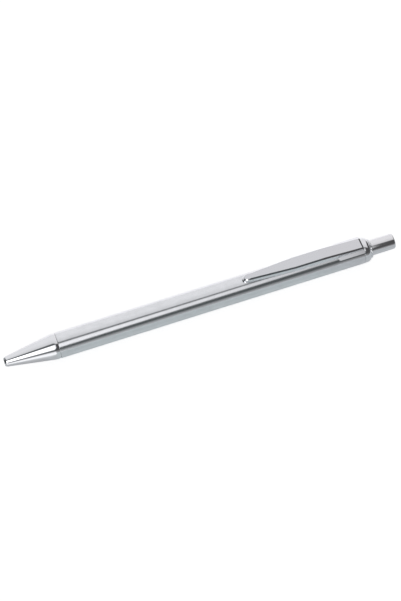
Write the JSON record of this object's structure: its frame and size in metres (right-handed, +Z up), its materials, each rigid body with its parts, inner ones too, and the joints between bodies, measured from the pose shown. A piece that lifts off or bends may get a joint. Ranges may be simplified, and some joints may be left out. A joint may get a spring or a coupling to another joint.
{
  "type": "ballpoint pen",
  "caption": "Slim metal push-button ballpoint pen with a satin barrel, polished conical nose, end collar, button and folded spring clip.",
  "frame": {"origin": "middle of the pen's length, on the surface that it lies on", "axes": "+X along the pen from the writing tip to the button, +Z up with the clip on top, +Y across"},
  "size_m": [0.1344, 0.0086, 0.0103],
  "materials": {
    "satin_steel": "fine satin, brushed round the barrel",
    "polished_chrome": "mirror polished",
    "satin_chrome": "slightly satin",
    "brass": "as turned",
    "nickel_brass": "nickel silver, as turned",
    "hard_steel": "smooth",
    "white_plastic": "moulded",
    "dark_plastic": "moulded",
    "blue_ink": "thick paste"
  },
  "bodies": {
    "barrel": {"barrel_tube": "satin_steel", "nose_cone": "polished_chrome", "front_insert": "brass", "rear_insert": "brass", "end_collar": "polished_chrome", "cam_sleeve": "white_plastic", "keeper_ring": "brass", "refill_spring": "hard_steel"},
    "clip": {"clip": "polished_chrome"},
    "button": {"push_button": "satin_chrome", "plunger": "white_plastic"},
    "refill": {"refill_tube": "brass", "refill_cap": "dark_plastic", "ink_column": "blue_ink", "point_holder": "brass", "writing_point": "nickel_brass", "writing_ball": "hard_steel"},
    "rotor": {"cam_rotor": "dark_plastic"}
  },
  "joints": [
    {"name": "refill_slide", "type": "slide", "parent": "barrel", "child": "refill", "axis": [-1, 0, 0], "range_m": [0, 0.0058], "stiffness_N_per_m": 300, "springref_m": -0.005, "deforming": ["refill_spring"]},
    {"name": "button_press", "type": "slide", "parent": "barrel", "child": "button", "axis": [-1, 0, 0], "range_m": [0, 0.0058]},
    {"name": "rotor_step", "type": "hinge", "parent": "refill", "child": "rotor", "pos_m": [0.0418, 0, 0.00429], "axis": [1, 0, 0], "range_deg": [0, 22.5]},
    {"name": "clip_flex", "type": "hinge", "parent": "barrel", "child": "clip", "pos_m": [0.05575, 0, 0.00859], "axis": [0, 1, 0], "range_deg": [0, 4], "stiffness_Nm_per_rad": 4, "springref_deg": -2.29}
  ],
  "couplings": [
    {"joint": "button_press", "follows": "refill_slide", "ratio": 1},
    {"joint": "rotor_step", "follows": "refill_slide", "rad_per_m": 67.7}
  ]
}
